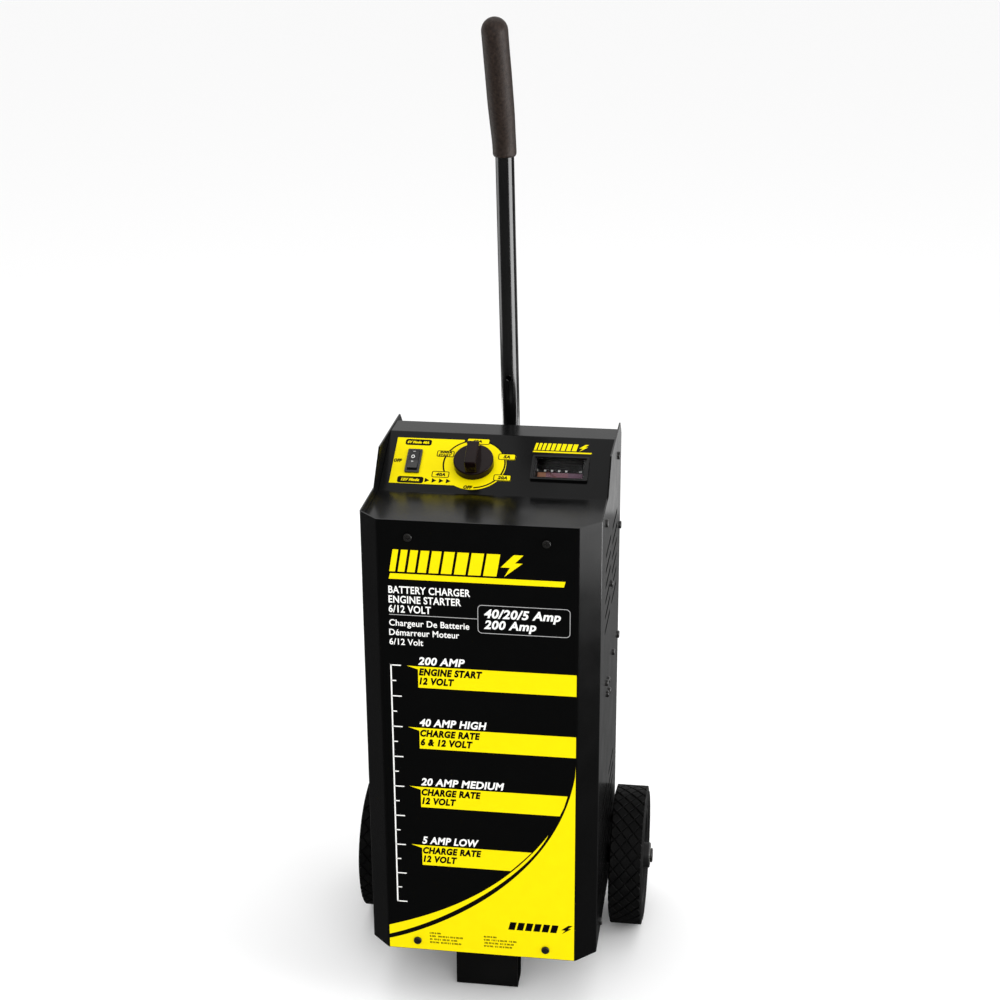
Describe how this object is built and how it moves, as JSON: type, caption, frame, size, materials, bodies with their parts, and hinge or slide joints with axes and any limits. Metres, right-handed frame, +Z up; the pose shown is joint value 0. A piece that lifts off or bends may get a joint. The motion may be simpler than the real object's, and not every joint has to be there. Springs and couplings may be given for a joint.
{
  "type": "wheeled battery charger",
  "caption": "Upright wheeled battery charger: tall steel cabinet with an inclined control panel, a front foot, rear wheels and a straight pull handle.",
  "frame": {"origin": "centre of the bottom of the whole charger's box, on the ground", "axes": "+Z up along the handle, -Y out of the front face, +X to the right side as seen from the front"},
  "size_m": [0.3268, 0.2746, 0.984],
  "materials": {
    "cabinet_paint": "semi-gloss black enamel on sheet steel",
    "foot_paint": "satin black enamel",
    "tube_paint": "gloss black enamel on steel tube",
    "grip_foam": "dark brown-grey cellular vinyl",
    "tyre_rubber": "matte black moulded rubber",
    "wheel_plastic": "satin black moulded plastic",
    "guide_plastic": "moulded nylon",
    "bush_nylon": "natural nylon",
    "zinc_steel": "zinc-plated steel",
    "black_fasteners": "black oxide steel",
    "knob_plastic": "gloss black phenolic",
    "rocker_plastic": "gloss black nylon",
    "meter_plastic": "gloss black moulding",
    "meter_window": "clear acrylic",
    "dial_print": "black printed card with a red band",
    "needle_metal": "dark red enamel",
    "front_print": "black and yellow printed vinyl",
    "control_print": "yellow printed vinyl",
    "terminal_metal": "tinned brass",
    "core_steel": "varnished laminations",
    "bobbin_plastic": "glass-filled nylon",
    "winding_wire": "enamelled copper",
    "sink_aluminium": "mill finish",
    "insulator": "phenolic",
    "lead_insulation": "red and black PVC"
  },
  "bodies": {
    "cabinet": {"cabinet_shell": "cabinet_paint", "control_panel": "cabinet_paint", "back_panel": "cabinet_paint", "base_plate": "cabinet_paint", "front_foot": "foot_paint", "foot_bolts": "zinc_steel", "foot_nuts": "zinc_steel", "axle": "zinc_steel", "axle_caps": "black_fasteners", "axle_spacers": "black_fasteners", "axle_brackets": "zinc_steel", "handle_guide_upper": "guide_plastic", "handle_guide_lower": "guide_plastic", "selector_switch": "insulator", "selector_terminals": "terminal_metal", "selector_nut": "zinc_steel", "rocker_housing": "rocker_plastic", "rocker_terminals": "terminal_metal", "meter_bezel": "meter_plastic", "meter_case": "meter_plastic", "meter_lens": "meter_window", "meter_dial": "dial_print", "meter_movement": "insulator", "meter_studs": "terminal_metal", "front_label": "front_print", "control_label": "control_print", "transformer_core": "core_steel", "bobbin": "bobbin_plastic", "primary_winding": "winding_wire", "secondary_winding": "winding_wire", "transformer_feet": "zinc_steel", "core_bolts": "zinc_steel", "heat_sink": "sink_aluminium", "rectifier_diodes": "zinc_steel", "sink_spacers": "insulator", "sink_screws": "black_fasteners", "circuit_breaker": "insulator", "terminal_block": "insulator", "bracket_rivets": "black_fasteners", "internal_leads": "lead_insulation", "mains_gland": "guide_plastic", "output_gland": "guide_plastic", "front_screws": "black_fasteners", "back_screws": "black_fasteners", "guide_screws": "black_fasteners", "side_screws": "black_fasteners"},
    "handle": {"handle_tube": "tube_paint", "handle_grip": "grip_foam"},
    "clamp": {"clamp_screw": "zinc_steel", "clamp_knob": "knob_plastic"},
    "selector": {"selector_shaft": "zinc_steel", "selector_knob": "knob_plastic"},
    "switch_rocker": {"rocker": "rocker_plastic"},
    "needle": {"meter_needle": "needle_metal"},
    "wheel_left": {"tyre_left": "tyre_rubber", "rim_left": "wheel_plastic", "hub_bush_left": "bush_nylon"},
    "wheel_right": {"tyre_right": "tyre_rubber", "rim_right": "wheel_plastic", "hub_bush_right": "bush_nylon"}
  },
  "joints": [
    {"name": "handle_slide", "type": "slide", "parent": "cabinet", "child": "handle", "axis": [-0.0192, 0, 0.9998], "range_m": [-0.24, 0]},
    {"name": "clamp_turn", "type": "hinge", "parent": "cabinet", "child": "clamp", "pos_m": [0.03, 0.11555, 0.5175], "axis": [1, 0, 0], "range_deg": [0, 270]},
    {"name": "selector_turn", "type": "hinge", "parent": "cabinet", "child": "selector", "pos_m": [-0.0233, -0.00151, 0.55225], "axis": [0, -0.5, 0.866], "range_deg": [-120, 180]},
    {"name": "rocker_tilt", "type": "hinge", "parent": "cabinet", "child": "switch_rocker", "pos_m": [-0.0851, 0.00036, 0.55102], "axis": [1, 0, 0], "range_deg": [-10, 10]},
    {"name": "needle_swing", "type": "hinge", "parent": "cabinet", "child": "needle", "pos_m": [0.0638, -0.00847, 0.5413], "axis": [0, -0.5, 0.866], "range_deg": [-96, 0], "stiffness_Nm_per_rad": 0.0002, "springref_deg": 17.19},
    {"name": "wheel_left_spin", "type": "hinge", "parent": "cabinet", "child": "wheel_left", "pos_m": [-0.13775, 0.06115, 0.0762], "axis": [1, 0, 0], "continuous": true},
    {"name": "wheel_right_spin", "type": "hinge", "parent": "cabinet", "child": "wheel_right", "pos_m": [0.13775, 0.06115, 0.0762], "axis": [1, 0, 0], "continuous": true}
  ]
}
